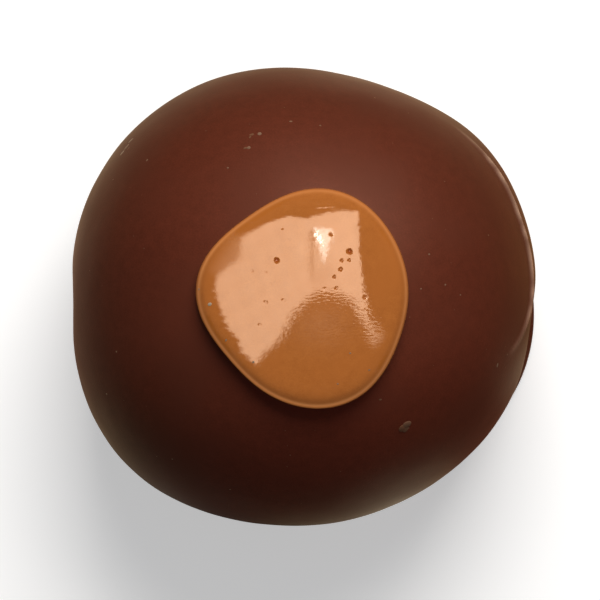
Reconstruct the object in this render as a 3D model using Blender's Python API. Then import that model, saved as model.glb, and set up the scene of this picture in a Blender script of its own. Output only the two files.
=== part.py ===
"""A hand-dipped chocolate truffle: a dark coated ball, flat underneath, with a caramel drop on its crown.

Metres, +Z up. The origin is the middle of the truffle's bounding box, on the face it rests on.
"""
import math

import bmesh
import bpy

MM = 0.001
GAP = 0.3 * MM                  # left between the drop and the coat it was poured on

# The coat: a ball that has sunk onto its base. Azimuths count from +X towards +Y.
COAT_RADIUS = 14.85 * MM        # at the belly, the widest line, as a mean round the ball
COAT_HEIGHT = 21.5 * MM
BELLY_HEIGHT = 8.5 * MM
CROWN_POWER = 2.1               # 2 makes the crown an ellipse, and more flattens its top
TUCK = 0.11                     # share of the radius by which the wall draws in down to the floor
TUCK_POWER = 2.2
TUCK_SWING = 0.055              # it draws in this much less on the steep side, more on the other
STEEP_AZIMUTH = math.radians(18)
COAT_LOBES = (                  # waves round the outline, share of the radius, azimuth of a peak
    (2, 0.009, math.radians(14)),
    (3, 0.013, math.radians(-3)),
    (4, 0.011, math.radians(43)),
    (6, 0.0045, math.radians(-20)),
)

# The foot: coating that ran down and set in a thin lip on the floor, broadest where most ran.
FOOT_THICKNESS = 0.8 * MM
FOOT_REACH = 0.55 * MM          # past the wall
FOOT_SPREAD = 0.75 * MM         # further reach at the middle of the broad stretch
FOOT_SPREAD_AZIMUTH = math.radians(15)
FOOT_SPREAD_HALF_ANGLE = math.radians(75)
FOOT_FLARE = 0.9 * MM           # height over which the lip blends into the wall

# Fingertip dents in the wall.
DENT_DEPTH = 0.35 * MM
DENT_RADIUS = 2.2 * MM
DENT_HEIGHT = 8.0 * MM
DENT_AZIMUTHS = (math.radians(-6), math.radians(181))

# Slow swells that the coating set in across the crown.
SWELL = 0.09 * MM
SWELL_LENGTH = 9.0 * MM

# The caramel drop: a round-edged pool, three-cornered where it flowed out, that half levelled itself.
DROP_RADIUS = 6.76 * MM
DROP_CENTRE = (0.545 * MM, 0.065 * MM)     # from the ball's axis
DROP_THICKNESS = 0.7 * MM       # at its middle
DROP_LEVEL = 0.5                # 0 follows the crown, and 1 lies level
DROP_EDGE = 0.2 * MM            # height of the edge's widest line, and the rounding under it
DROP_SHOULDER_POWER = 9.0       # more keeps the top level for longer before it turns down
DROP_LOBES = (
    (2, 0.019, math.radians(97)),
    (3, 0.048, math.radians(54)),
    (4, 0.019, math.radians(-4)),
    (5, 0.0066, math.radians(18)),
    (6, 0.0035, math.radians(-1)),
)

COAT_SEGMENTS = 72
COAT_BASE_RINGS = 2
COAT_FOOT_RINGS = 5
COAT_WALL_RINGS = 10
COAT_WALL_CROWDING = 1.6        # more crowds the wall's rings towards the foot
COAT_CROWN_RINGS = 14
DROP_SEGMENTS = 64
DROP_UNDER_RINGS = 5
DROP_EDGE_RINGS = 3
DROP_TOP_RINGS = 9
MERGE = 0.001 * MM              # closes a spun body along its seam and at its poles
SHARP_ANGLE = math.radians(60)


def lobed(azimuth, lobes):
    """Radius of an uneven outline at this azimuth, as a multiple of its mean radius."""
    return 1 + sum(share * math.cos(waves * (azimuth - peak)) for waves, share, peak in lobes)


def turned_from(azimuth, middle):
    """Signed angle from a middle azimuth to this one, by the shorter way round."""
    return (azimuth - middle + math.pi) % (2 * math.pi) - math.pi


def broad_stretch(azimuth):
    """Share of the foot's spread at this azimuth: 1 at its middle, 0 past its ends."""
    away = min(abs(turned_from(azimuth, FOOT_SPREAD_AZIMUTH)) / FOOT_SPREAD_HALF_ANGLE, 1)
    return math.cos(math.pi / 2 * away) ** 2


def swell(along, across):
    """A slow, irregular wave between about -SWELL and SWELL."""
    turn = 2 * math.pi / SWELL_LENGTH
    first = math.sin(turn * (along + 0.3 * across))
    second = math.sin(turn * (1.3 * across - 0.4 * along) + 2.0)
    return SWELL * (first + second) / 2


def crown_height(x, y):
    """Height of the coat's crown over a point, given from the ball's axis."""
    share = math.hypot(x, y) / (COAT_RADIUS * lobed(math.atan2(y, x), COAT_LOBES))
    share = min(share, 1)
    rise = (COAT_HEIGHT - BELLY_HEIGHT) * (1 - share ** CROWN_POWER) ** (1 / CROWN_POWER)
    return BELLY_HEIGHT + rise + swell(x, y) * (1 - share ** 2)


def tuck_depth(height):
    """How far down the wall's tuck a height is, from 0 at the belly to 1 on the floor."""
    return ((BELLY_HEIGHT - height) / BELLY_HEIGHT) ** TUCK_POWER


def foot_share(height):
    """How much of the foot's reach a height has: all of it in the lip, then fading up the wall."""
    return min(math.exp((FOOT_THICKNESS - height) / FOOT_FLARE), 1)


def coat_profile():
    """The coat's mean half outline, from the middle of the base to the top of the crown."""
    half = FOOT_THICKNESS / 2
    lip = COAT_RADIUS * (1 - TUCK) + FOOT_REACH - half
    points = [(lip * step / COAT_BASE_RINGS, 0) for step in range(COAT_BASE_RINGS)]
    for step in range(COAT_FOOT_RINGS + 1):
        turn = math.pi * (step / COAT_FOOT_RINGS - 0.5)
        points.append((lip + half * math.cos(turn), half + half * math.sin(turn)))
    for step in range(1, COAT_WALL_RINGS):
        climb = (step / COAT_WALL_RINGS) ** COAT_WALL_CROWDING
        height = FOOT_THICKNESS + (BELLY_HEIGHT - FOOT_THICKNESS) * climb
        wall = COAT_RADIUS * (1 - TUCK * tuck_depth(height))
        points.append((wall + (FOOT_REACH - half) * foot_share(height), height))
    for step in range(COAT_CROWN_RINGS + 1):
        turn = math.pi / 2 * step / COAT_CROWN_RINGS
        radius = COAT_RADIUS * math.cos(turn)
        level = (1 - max(math.cos(turn), 0) ** CROWN_POWER) ** (1 / CROWN_POWER)
        points.append((radius, BELLY_HEIGHT + (COAT_HEIGHT - BELLY_HEIGHT) * level))
    return points


def drop_profile():
    """The drop's mean half outline, as radius and height over its underside."""
    flat = DROP_RADIUS - DROP_EDGE
    points = [(flat * step / DROP_UNDER_RINGS, 0) for step in range(DROP_UNDER_RINGS)]
    for step in range(DROP_EDGE_RINGS):
        turn = math.pi / 2 * step / DROP_EDGE_RINGS
        points.append((flat + DROP_EDGE * math.sin(turn), DROP_EDGE * (1 - math.cos(turn))))
    for step in range(DROP_TOP_RINGS + 1):
        share = math.cos(math.pi / 2 * step / DROP_TOP_RINGS)
        bulge = math.sqrt(1 - share ** DROP_SHOULDER_POWER)
        points.append((DROP_RADIUS * share, DROP_EDGE + (DROP_THICKNESS - DROP_EDGE) * bulge))
    return points


def spin_profile(profile, segments):
    """Turn a half outline that starts and ends on the Z axis into one closed body."""
    body = bmesh.new()
    points = [body.verts.new((radius, 0, height)) for radius, height in profile]
    edges = [body.edges.new(pair) for pair in zip(points, points[1:])]
    bmesh.ops.spin(
        body, geom=points + edges, cent=(0, 0, 0), axis=(0, 0, 1), dvec=(0, 0, 0),
        angle=2 * math.pi, steps=segments, use_merge=True,
    )
    bmesh.ops.remove_doubles(body, verts=body.verts, dist=MERGE)
    bmesh.ops.recalc_face_normals(body, faces=body.faces)
    return body


def settle_coat(point):
    """Move a point of the evenly turned ball to where the hand-dipped one has it."""
    azimuth = math.atan2(point.y, point.x)
    radius = math.hypot(point.x, point.y)
    height = point.z
    if height < BELLY_HEIGHT:
        outwards = min(radius / (COAT_RADIUS * (1 - TUCK)), 1)
        steep = TUCK_SWING * math.cos(azimuth - STEEP_AZIMUTH)
        radius += COAT_RADIUS * steep * tuck_depth(height) * outwards
        radius += FOOT_SPREAD * broad_stretch(azimuth) * foot_share(height) * outwards
    radius *= lobed(azimuth, COAT_LOBES)
    if height >= BELLY_HEIGHT:
        height = crown_height(radius * math.cos(azimuth), radius * math.sin(azimuth))
    for dent in DENT_AZIMUTHS:
        span = math.hypot(turned_from(azimuth, dent) * COAT_RADIUS, height - DENT_HEIGHT)
        radius -= DENT_DEPTH * math.exp(-(span / DENT_RADIUS) ** 2)
    return radius * math.cos(azimuth), radius * math.sin(azimuth), height


def settle_drop(point):
    """Move a point of the evenly turned drop onto the crown, out to its three-cornered edge."""
    azimuth = math.atan2(point.y, point.x)
    radius = math.hypot(point.x, point.y) * lobed(azimuth, DROP_LOBES)
    x = DROP_CENTRE[0] + radius * math.cos(azimuth)
    y = DROP_CENTRE[1] + radius * math.sin(azimuth)
    crown = crown_height(x, y)
    above_edge = max(point.z - DROP_EDGE, 0) / (DROP_THICKNESS - DROP_EDGE)
    levelled = DROP_LEVEL * (crown_height(*DROP_CENTRE) - crown) * above_edge
    return x, y, crown + GAP + point.z + levelled


def make_material(name, colour, roughness):
    """A plain food surface."""
    material = bpy.data.materials.new(name)
    material.use_nodes = True
    surface = material.node_tree.nodes["Principled BSDF"]
    surface.inputs["Base Color"].default_value = (*colour, 1)
    surface.inputs["Roughness"].default_value = roughness
    surface.inputs["Metallic"].default_value = 0
    material.diffuse_color = (*colour, 1)
    return material


def make_object(name, body, settle, material):
    """One named piece from its turned body, with every point settled."""
    for vert in body.verts:
        vert.co = settle(vert.co)
    mesh = bpy.data.meshes.new(name)
    body.to_mesh(mesh)
    body.free()
    mesh.shade_smooth()
    mesh.set_sharp_from_angle(angle=SHARP_ANGLE)
    mesh.materials.append(material)
    piece = bpy.data.objects.new(name, mesh)
    bpy.context.collection.objects.link(piece)
    return piece


def centre_on_floor(pieces):
    """Slide the pieces together so that the middle of their bounding box stands over the origin."""
    corners = [vert.co for piece in pieces for vert in piece.data.vertices]
    for axis in range(2):
        values = [corner[axis] for corner in corners]
        middle = (min(values) + max(values)) / 2
        for piece in pieces:
            for vert in piece.data.vertices:
                vert.co[axis] -= middle


def main():
    for leftover in list(bpy.data.objects):
        bpy.data.objects.remove(leftover)

    chocolate = make_material("dark_chocolate", (0.110, 0.022, 0.009), 0.45)
    caramel = make_material("caramel_coating", (0.420, 0.135, 0.027), 0.15)
    coat = make_object("chocolate_coat", spin_profile(coat_profile(), COAT_SEGMENTS), settle_coat, chocolate)
    drop = make_object("caramel_drop", spin_profile(drop_profile(), DROP_SEGMENTS), settle_drop, caramel)
    centre_on_floor([coat, drop])


main()
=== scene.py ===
"""The looks of a hand-dipped chocolate truffle with a caramel drop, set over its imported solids.

Metres, +Z up, in the frame of the solids. Azimuths count from +X towards +Y.
"""
import math

import bmesh
import bpy
import numpy as np
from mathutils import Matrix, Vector


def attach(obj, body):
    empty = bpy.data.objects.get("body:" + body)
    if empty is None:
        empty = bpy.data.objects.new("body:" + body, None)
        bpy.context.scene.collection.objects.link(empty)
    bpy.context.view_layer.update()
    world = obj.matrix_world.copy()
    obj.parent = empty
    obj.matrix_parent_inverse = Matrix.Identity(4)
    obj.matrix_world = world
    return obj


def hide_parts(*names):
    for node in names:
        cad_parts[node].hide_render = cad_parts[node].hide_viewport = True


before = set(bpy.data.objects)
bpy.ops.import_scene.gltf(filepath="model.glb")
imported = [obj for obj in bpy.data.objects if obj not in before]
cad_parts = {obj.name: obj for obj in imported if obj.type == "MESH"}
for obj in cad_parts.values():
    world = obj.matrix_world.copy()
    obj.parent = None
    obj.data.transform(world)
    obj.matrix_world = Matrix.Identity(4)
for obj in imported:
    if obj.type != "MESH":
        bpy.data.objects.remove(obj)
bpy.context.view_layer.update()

# === The coated ball ==================================================================================
# A soft centre rolled into a ball and dipped by hand in dark chocolate. It sank a little on the tray
# before the coat set, so its base is flat, its belly sits low and some chocolate ran into a thin foot.
MM = 0.001
AXIS = np.array([-0.434 * MM, -0.050 * MM, 0])        # where the ball's own axis stands
BALL_RADIUS = 14.85 * MM            # at the belly, as a mean round the ball
BALL_HEIGHT = 21.5 * MM
BELLY_HEIGHT = 8.5 * MM
CROWN_POWER = 2.1                   # 2 makes the crown an ellipse, and more flattens its top
TUCK = 0.11                         # share of the radius by which the wall draws in down to the floor
TUCK_POWER = 2.2
TUCK_SWING = 0.055                  # it draws in this much less on the steep side
STEEP_AZIMUTH = math.radians(18)
BALL_LOBES = (                      # waves round the outline, share of the radius, azimuth of a peak
    (2, 0.009, math.radians(14)),
    (3, 0.013, math.radians(-3)),
    (4, 0.011, math.radians(43)),
    (6, 0.0045, math.radians(-20)),
)
FOOT_THICKNESS = 0.8 * MM
FOOT_REACH = 0.55 * MM
FOOT_SPREAD = 0.72 * MM
FOOT_SPREAD_AZIMUTH = math.radians(-16)
FOOT_SPREAD_HALF_ANGLE = math.radians(46)
CHEEK = 0.32 * MM                   # how far the belly swells out on one side
CHEEK_AZIMUTH = math.radians(24)
CHEEK_HALF_ANGLE = math.radians(30)
CHEEK_HEIGHT = 4.5 * MM
FOOT_FLARE = 0.9 * MM
DENT_DEPTH = 0.35 * MM
DENT_RADIUS = 2.2 * MM
DENT_HEIGHT = 8.0 * MM
DENT_AZIMUTHS = (math.radians(-6), math.radians(181))
SWELL = 0.09 * MM
SWELL_LENGTH = 9.0 * MM
RIPPLE = 0.035 * MM                 # the small unevenness of a coat that set on a turning hand
RIPPLE_LENGTH = 3.2 * MM
BEAD_RELIEF = 0.18 * MM             # of the thin bead along one side, where the coat's last run ended
BEAD_HALF_WIDTH = 0.25 * MM
BEAD_PATH = (                       # azimuth in degrees, and its share of the radius there
    (-24, 0.86), (-18, 0.900), (-15, 0.920), (-11, 0.946), (-7, 0.965), (-2, 0.978), (10, 0.983),
    (17, 0.978), (30, 0.978), (44, 0.975), (60, 0.97),
)
BEAD_ENDS = (-17, -5, 30, 50)       # it grows between the first two azimuths and fades between the others
BEAD_SMOOTHING = 33                 # half-degree steps over which the corners of its path are evened out
BEAD_HIGHLIGHT_SHARE = 0.74                  # how strong the painted highlight on it is as a mean, and how much that changes
BEAD_HIGHLIGHT_SWING = 0.26
WALL_CROWDING = 1.6                 # more crowds the wall's rings towards the foot
RIPPLE_HEIGHT = 3 * MM              # from here up, and from this radius outwards, the ripples are full
RIPPLE_RADIUS = 9 * MM
BALL_SEGMENTS = 400
MERGE = 0.001 * MM


def feed(tree, socket, value):
    """Link another socket to this input, or set it to a plain value."""
    if isinstance(value, bpy.types.NodeSocket):
        tree.links.new(value, socket)
    else:
        socket.default_value = value


def add_node(tree, kind, **inputs):
    """Add a node and feed the inputs of these names, in which _ stands for a space."""
    node = tree.nodes.new(kind)
    for name, value in inputs.items():
        feed(tree, node.inputs[name.replace("_", " ")], value)
    return node


def calculate(tree, operation, *values):
    """Add one Math node, fed by sockets or plain numbers, and give its output."""
    node = tree.nodes.new("ShaderNodeMath")
    node.operation = operation
    for socket, value in zip(node.inputs, values):
        feed(tree, socket, value)
    return node.outputs[0]


def add_inputs(tree, floats):
    """Give a tree a geometry input and output, and named number inputs, and return those inputs."""
    tree.interface.new_socket("Geometry", in_out="INPUT", socket_type="NodeSocketGeometry")
    tree.interface.new_socket("Geometry", in_out="OUTPUT", socket_type="NodeSocketGeometry")
    tree.interface.new_socket("Material", in_out="INPUT", socket_type="NodeSocketMaterial")
    for name in floats:
        tree.interface.new_socket(name, in_out="INPUT", socket_type="NodeSocketFloat")
    return tree.nodes.new("NodeGroupInput").outputs


def finish_tree(tree, geometry, material):
    """End a geometry tree by making its instances real and giving the result its material."""
    real = add_node(tree, "GeometryNodeRealizeInstances", Geometry=geometry).outputs["Geometry"]
    finished = add_node(tree, "GeometryNodeSetMaterial", Geometry=real, Material=material)
    add_node(tree, "NodeGroupOutput", Geometry=finished.outputs["Geometry"])


def run_tree(piece, tree, values):
    """Run a geometry tree on an object with these inputs, and leave the result as its plain mesh."""
    modifier = piece.modifiers.new(tree.name, "NODES")
    modifier.node_group = tree
    for item in tree.interface.items_tree:
        if item.in_out == "INPUT" and item.name in values:
            modifier[item.identifier] = values[item.name]
    evaluated = piece.evaluated_get(bpy.context.evaluated_depsgraph_get())
    result = bpy.data.meshes.new_from_object(evaluated)
    piece.modifiers.clear()
    piece.data = result
    result.name = piece.name


def turned_piece(name, outline, segments):
    """Turn a half outline that starts and ends on the Z axis into one closed, smooth object."""
    body = bmesh.new()
    ribs = []
    for segment in range(segments):
        turn = 2 * math.pi * segment / segments
        x, y = math.cos(turn), math.sin(turn)
        ribs.append([body.verts.new((radius * x, radius * y, height)) for radius, height in outline])
    # The faces come in a fixed order, so that the specks fall on them alike each time.
    for rib, following in zip(ribs, ribs[1:] + ribs[:1]):
        for step in range(len(outline) - 1):
            body.faces.new((rib[step], following[step], following[step + 1], rib[step + 1]))
    bmesh.ops.remove_doubles(body, verts=body.verts, dist=MERGE)
    bmesh.ops.recalc_face_normals(body, faces=body.faces)
    mesh = bpy.data.meshes.new(name)
    body.to_mesh(mesh)
    body.free()
    mesh.shade_smooth()
    piece = bpy.data.objects.new(name, mesh)
    bpy.context.collection.objects.link(piece)
    return piece


def ball_outline(base_rings=14, foot_rings=12, wall_rings=44, crown_rings=150):
    """The ball's mean half outline, from the middle of its base to the top of its crown."""
    half = FOOT_THICKNESS / 2
    lip = BALL_RADIUS * (1 - TUCK) + FOOT_REACH - half
    outline = [(lip * step / base_rings, 0) for step in range(base_rings)]
    for step in range(foot_rings + 1):
        turn = math.pi * (step / foot_rings - 0.5)
        outline.append((lip + half * math.cos(turn), half + half * math.sin(turn)))
    for step in range(1, wall_rings):
        climb = (step / wall_rings) ** WALL_CROWDING
        height = FOOT_THICKNESS + (BELLY_HEIGHT - FOOT_THICKNESS) * climb
        tucked = TUCK * ((BELLY_HEIGHT - height) / BELLY_HEIGHT) ** TUCK_POWER
        fade = math.exp((FOOT_THICKNESS - height) / FOOT_FLARE)
        outline.append((BALL_RADIUS * (1 - tucked) + (FOOT_REACH - half) * fade, height))
    for step in range(crown_rings + 1):
        share = max(math.cos(math.pi / 2 * step / crown_rings), 0)
        level = (1 - share ** CROWN_POWER) ** (1 / CROWN_POWER)
        outline.append((BALL_RADIUS * share, BELLY_HEIGHT + (BALL_HEIGHT - BELLY_HEIGHT) * level))
    return outline


def hand_dipping_tree():
    """Geometry nodes that settle an evenly turned ball into the uneven one a hand dips."""
    tree = bpy.data.node_groups.new("hand dipping", "GeometryNodeTree")
    names = ("Lobes", "Tuck Swing", "Foot Spread", "Cheek", "Dent Depth", "Swell", "Ripple")
    sizes = add_inputs(tree, names)

    def calc(operation, *values):
        return calculate(tree, operation, *values)

    def product(first, *others):
        for other in others:
            first = calc("MULTIPLY", first, other)
        return first

    def wave(azimuth, waves, peak):
        return calc("COSINE", product(calc("SUBTRACT", azimuth, peak), waves))

    where = tree.nodes.new("GeometryNodeInputPosition").outputs[0]
    x, y, height = add_node(tree, "ShaderNodeSeparateXYZ", Vector=where).outputs
    azimuth = calc("ARCTAN2", y, x)
    mean_radius = calc("SQRT", calc("ADD", product(x, x), product(y, y)))

    # The wall's tuck and the foot's spread grow from nothing at the belly. A cheek swells the belly out.
    below = calc("MAXIMUM", calc("DIVIDE", calc("SUBTRACT", BELLY_HEIGHT, height), BELLY_HEIGHT), 0)
    depth = calc("POWER", below, TUCK_POWER)
    outwards = calc("MINIMUM", calc("DIVIDE", mean_radius, BALL_RADIUS * (1 - TUCK)), 1)
    steep = product(wave(azimuth, 1, STEEP_AZIMUTH), sizes["Tuck Swing"])
    tucked = product(steep, depth, BALL_RADIUS)
    turned = calc("WRAP", calc("SUBTRACT", azimuth, FOOT_SPREAD_AZIMUTH), math.pi, -math.pi)
    away = calc("MINIMUM", calc("DIVIDE", calc("ABSOLUTE", turned), FOOT_SPREAD_HALF_ANGLE), 1)
    broad = calc("POWER", calc("COSINE", product(away, math.pi / 2)), 2)
    fade = calc("DIVIDE", calc("SUBTRACT", FOOT_THICKNESS, height), FOOT_FLARE)
    fade = calc("MINIMUM", calc("EXPONENT", fade), 1)
    spread = product(broad, fade, sizes["Foot Spread"])
    radius = calc("ADD", mean_radius, product(calc("ADD", tucked, spread), outwards))
    sideways = calc("WRAP", calc("SUBTRACT", azimuth, CHEEK_AZIMUTH), math.pi, -math.pi)
    sideways = calc("POWER", calc("ABSOLUTE", calc("DIVIDE", sideways, CHEEK_HALF_ANGLE)), 4)
    upwards = calc("POWER", calc("DIVIDE", calc("SUBTRACT", height, BELLY_HEIGHT), CHEEK_HEIGHT), 2)
    cheek = calc("EXPONENT", product(calc("ADD", sideways, upwards), -1))
    cheek = product(cheek, sizes["Cheek"], outwards)
    radius = calc("ADD", radius, cheek)

    # Lobes round the outline.
    lobes = 0
    for waves, share, peak in BALL_LOBES:
        lobes = calc("ADD", lobes, product(wave(azimuth, waves, peak), share))
    lobes = product(lobes, sizes["Lobes"])
    radius = product(radius, calc("ADD", lobes, 1))

    # Slow swells across the crown.
    share = calc("MINIMUM", calc("DIVIDE", mean_radius, BALL_RADIUS), 1)
    inner = calc("SUBTRACT", 1, product(share, share))
    upper = calc("GREATER_THAN", height, BELLY_HEIGHT)
    along = product(radius, calc("COSINE", azimuth))
    across = product(radius, calc("SINE", azimuth))
    turn = 2 * math.pi / SWELL_LENGTH
    first = calc("ADD", product(along, turn), product(across, 0.3 * turn))
    second = calc("ADD", product(across, 1.3 * turn), product(along, -0.4 * turn))
    waves = calc("ADD", calc("SINE", first), calc("SINE", calc("ADD", second, 2.0)))
    waves = product(waves, 0.5, sizes["Swell"])
    height_out = calc("ADD", height, product(waves, inner, upper))

    # Fingertip dents in the wall.
    for dent in DENT_AZIMUTHS:
        round_it = calc("WRAP", calc("SUBTRACT", azimuth, dent), math.pi, -math.pi)
        sideways = product(round_it, BALL_RADIUS / DENT_RADIUS)
        upwards = calc("DIVIDE", calc("SUBTRACT", height_out, DENT_HEIGHT), DENT_RADIUS)
        span = calc("ADD", product(sideways, sideways), product(upwards, upwards))
        pressed = product(calc("EXPONENT", product(span, -1)), sizes["Dent Depth"])
        radius = calc("SUBTRACT", radius, pressed)

    # Small ripples, which fade out under the drop and on the base.
    noise = add_node(tree, "ShaderNodeTexNoise", Vector=where, Scale=1 / RIPPLE_LENGTH, Detail=1)
    ripple = product(calc("SUBTRACT", noise.outputs[0], 0.5), sizes["Ripple"])
    raised = calc("MINIMUM", calc("DIVIDE", height, RIPPLE_HEIGHT), 1)
    clear = calc("MINIMUM", calc("POWER", calc("DIVIDE", mean_radius, RIPPLE_RADIUS), 4), 1)
    ripple = product(ripple, raised, clear)
    radius = calc("ADD", radius, product(ripple, 2))

    x_out = product(radius, calc("COSINE", azimuth))
    y_out = product(radius, calc("SINE", azimuth))
    moved = add_node(tree, "ShaderNodeCombineXYZ", X=x_out, Y=y_out, Z=height_out).outputs[0]
    geometry = sizes["Geometry"]
    settled = add_node(tree, "GeometryNodeSetPosition", Geometry=geometry, Position=moved)
    finish_tree(tree, settled.outputs["Geometry"], sizes["Material"])
    return tree


GRAIN_SHARE = 0.55                  # of the tone that the fine grain gives, and the mottling
MOTTLE_SHARE = 0.45


def food_grain_group():
    """Shader group: the fine grain and the slower mottling of a set fat-based coating."""
    group = bpy.data.node_groups.new("food grain", "ShaderNodeTree")
    group.interface.new_socket("Vector", in_out="INPUT", socket_type="NodeSocketVector")
    for name in ("Grain Scale", "Mottle Scale", "Patch Scale"):
        group.interface.new_socket(name, in_out="INPUT", socket_type="NodeSocketFloat")
    for name in ("Tone", "Patch", "Height"):
        group.interface.new_socket(name, in_out="OUTPUT", socket_type="NodeSocketFloat")
    given = group.nodes.new("NodeGroupInput").outputs
    noises = {}
    for name, detail in (("Grain Scale", 2), ("Mottle Scale", 3), ("Patch Scale", 2)):
        noise = add_node(group, "ShaderNodeTexNoise", Vector=given["Vector"], Scale=given[name])
        noise.inputs["Detail"].default_value = detail
        noises[name] = noise.outputs[0]
    grain = calculate(group, "MULTIPLY", noises["Grain Scale"], GRAIN_SHARE)
    mottle = calculate(group, "MULTIPLY", noises["Mottle Scale"], MOTTLE_SHARE)
    tone = calculate(group, "ADD", grain, mottle)
    add_node(group, "NodeGroupOutput", Tone=tone, Patch=noises["Patch Scale"], Height=noises["Grain Scale"])
    return group


def range_of(tree, value, low, high, from_low=0.3, from_high=0.7):
    """Map a mask's middle range onto low to high."""
    node = add_node(tree, "ShaderNodeMapRange", Value=value, From_Min=from_low, From_Max=from_high)
    node.inputs["To Min"].default_value = low
    node.inputs["To Max"].default_value = high
    return node.outputs["Result"]


def blend_colours(tree, share, first, second, blend="MIX"):
    """Mix two colours, each a socket or an RGB triple, by a share."""
    node = tree.nodes.new("ShaderNodeMix")
    node.data_type = "RGBA"
    node.blend_type = blend
    feed(tree, node.inputs["Factor"], share)
    for name, colour in (("A", first), ("B", second)):
        linked = isinstance(colour, bpy.types.NodeSocket)
        feed(tree, node.inputs[name], colour if linked else (*colour, 1))
    return node.outputs["Result"]


def grained_material(name, grain, scales, colours, roughness, specular, bump):
    """A coating with grain in its colour, gloss and relief."""
    material = bpy.data.materials.new(name)
    material.use_nodes = True
    tree = material.node_tree
    surface = tree.nodes["Principled BSDF"]
    surface.inputs["Specular IOR Level"].default_value = specular
    place = tree.nodes.new("ShaderNodeTexCoord")
    group = tree.nodes.new("ShaderNodeGroup")
    group.node_tree = grain
    tree.links.new(place.outputs["Object"], group.inputs["Vector"])
    for socket, size in zip(("Grain Scale", "Mottle Scale", "Patch Scale"), scales):
        group.inputs[socket].default_value = 1 / size
    dark, light, patch = colours
    toned = blend_colours(tree, range_of(tree, group.outputs["Tone"], 0, 1), dark, light)
    patched = range_of(tree, group.outputs["Patch"], 0, 1, from_low=0.45, from_high=0.7)
    toned = blend_colours(tree, patched, toned, patch)
    tree.links.new(toned, surface.inputs["Base Color"])
    gloss = range_of(tree, group.outputs["Patch"], *roughness)
    tree.links.new(gloss, surface.inputs["Roughness"])
    relief = add_node(tree, "ShaderNodeBump", Strength=1, Distance=bump, Height=group.outputs["Height"])
    tree.links.new(relief.outputs["Normal"], surface.inputs["Normal"])
    return material


def mask_of(tree, name):
    """A mask stored on the piece's own points."""
    node = tree.nodes.new("ShaderNodeAttribute")
    node.attribute_name = name
    return node.outputs["Fac"]


GRAIN = food_grain_group()
CHOCOLATE = grained_material(
    "dark_chocolate_satin", GRAIN,
    scales=(0.11 * MM, 0.6 * MM, 5 * MM),
    colours=((0.069, 0.0138, 0.0058), (0.094, 0.0186, 0.0080), (0.079, 0.0168, 0.0076)),
    roughness=(0.46, 0.54),
    specular=0.12,
    bump=0.006 * MM,
)
CROWN_PAINTED_LIGHT = (1.38, 1.48, 1.62)     # painted light: the coat's colour is paler towards the crown, where the light falls on it most
CROWN_FROM, CROWN_TO = 14.9 * MM, 20 * MM
# painted highlight: the pale colour along the bead stands in for its lit edge
BEAD_PAINTED_HIGHLIGHT = (0.45, 0.285, 0.20)
tree = CHOCOLATE.node_tree
surface = tree.nodes["Principled BSDF"]
body_colour = surface.inputs["Base Color"].links[0].from_socket
place = tree.nodes.new("ShaderNodeTexCoord").outputs["Object"]
split = add_node(tree, "ShaderNodeSeparateXYZ", Vector=place)
# Painted light: the colour is paled by height, standing in for the light that falls on the top.
crown_light_share = range_of(tree, split.outputs["Z"], 0, 1, CROWN_FROM, CROWN_TO)
crown_light = blend_colours(tree, crown_light_share, (1, 1, 1), CROWN_PAINTED_LIGHT)
crown_lit = blend_colours(tree, 1, body_colour, crown_light, "MULTIPLY")
# The pale colour along the bead is a painted highlight.
bead_lit = blend_colours(tree, mask_of(tree, "bead"), crown_lit, BEAD_PAINTED_HIGHLIGHT)
tree.links.new(bead_lit, surface.inputs["Base Color"])

ball = turned_piece("truffle_coat", ball_outline(), BALL_SEGMENTS)
run_tree(ball, hand_dipping_tree(), {
    "Material": CHOCOLATE, "Lobes": 1.0, "Tuck Swing": TUCK_SWING, "Foot Spread": FOOT_SPREAD,
    "Cheek": CHEEK, "Dent Depth": DENT_DEPTH, "Swell": SWELL, "Ripple": RIPPLE,
})


def mesh_points(mesh):
    """A mesh's vertices as an array of rows."""
    points = np.empty(len(mesh.vertices) * 3)
    mesh.vertices.foreach_get("co", points)
    return points.reshape(-1, 3)


def set_mesh_points(mesh, points):
    """Move a mesh's vertices to these rows."""
    mesh.vertices.foreach_set("co", points.ravel())
    mesh.update()


def lobed(azimuth, lobes):
    """Radius of an uneven outline at this azimuth, as a multiple of its mean radius."""
    return 1 + sum(share * np.cos(waves * (azimuth - peak)) for waves, share, peak in lobes)


# The bead stands out sideways from the wall, and carries an uneven painted highlight: a pale colour that
# stands in for its lit edge.
points = mesh_points(ball.data)
azimuths = np.arctan2(points[:, 1], points[:, 0])
degrees = np.degrees(azimuths)
path_degrees = np.arange(-40, 80, 0.5)
path_share = np.interp(path_degrees, [at for at, _ in BEAD_PATH], [share for _, share in BEAD_PATH])
path_height = (1 - path_share ** CROWN_POWER) ** (1 / CROWN_POWER)
path_height = BELLY_HEIGHT + (BALL_HEIGHT - BELLY_HEIGHT) * path_height
weights = np.hanning(BEAD_SMOOTHING) / np.hanning(BEAD_SMOOTHING).sum()
path_height = np.convolve(np.pad(path_height, BEAD_SMOOTHING // 2, "edge"), weights, "valid")
path_height = np.interp(degrees, path_degrees, path_height)
ends = np.interp(degrees, BEAD_ENDS, (0, 1, 1, 0)) * (abs(degrees) < 90)
ends = ends * ends * (3 - 2 * ends)
bead = ends * np.exp(-((points[:, 2] - path_height) / BEAD_HALF_WIDTH) ** 2)
radii = np.hypot(points[:, 0], points[:, 1]) + BEAD_RELIEF * bead
points[:, 0], points[:, 1] = radii * np.cos(azimuths), radii * np.sin(azimuths)
set_mesh_points(ball.data, points + AXIS)
bead_highlight = bead * (BEAD_HIGHLIGHT_SHARE + BEAD_HIGHLIGHT_SWING * np.sin(0.9 * degrees + 1.4 * np.sin(0.37 * degrees)))
ball.data.attributes.new("bead", "FLOAT", "POINT").data.foreach_set("value", bead_highlight)
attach(ball, "root")
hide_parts("chocolate_coat")

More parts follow.
